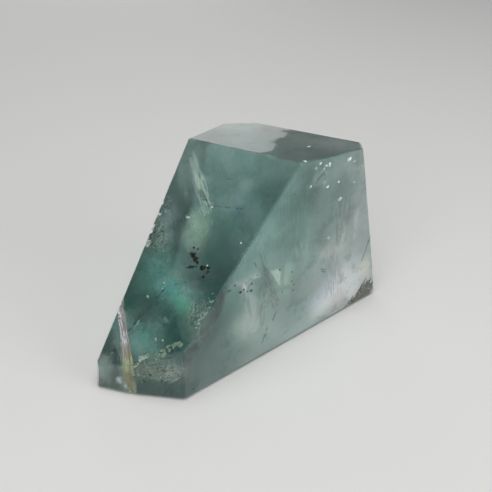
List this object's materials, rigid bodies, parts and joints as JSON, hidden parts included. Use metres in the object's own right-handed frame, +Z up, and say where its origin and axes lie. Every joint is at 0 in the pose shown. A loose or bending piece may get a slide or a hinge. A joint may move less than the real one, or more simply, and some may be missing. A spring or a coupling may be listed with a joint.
{
  "type": "fluorite polyhedron",
  "caption": "Polished free-form fluorite polyhedron with flat facets, worn and chipped edges and an open fissure, standing on a flat base.",
  "frame": {"origin": "centre of the bounding box at its bottom, on the surface that the stone stands on", "axes": "+Z up, +X from the low pointed foot to the tall end, +Y from the two large front facets to the back"},
  "size_m": [0.0562, 0.0408, 0.0407],
  "materials": {
    "fluorite": "polished clear blue-green crystal with cloudy veils, frosted where it is chipped"
  },
  "bodies": {
    "root": {"fluorite_polyhedron": "fluorite"}
  },
  "joints": []
}
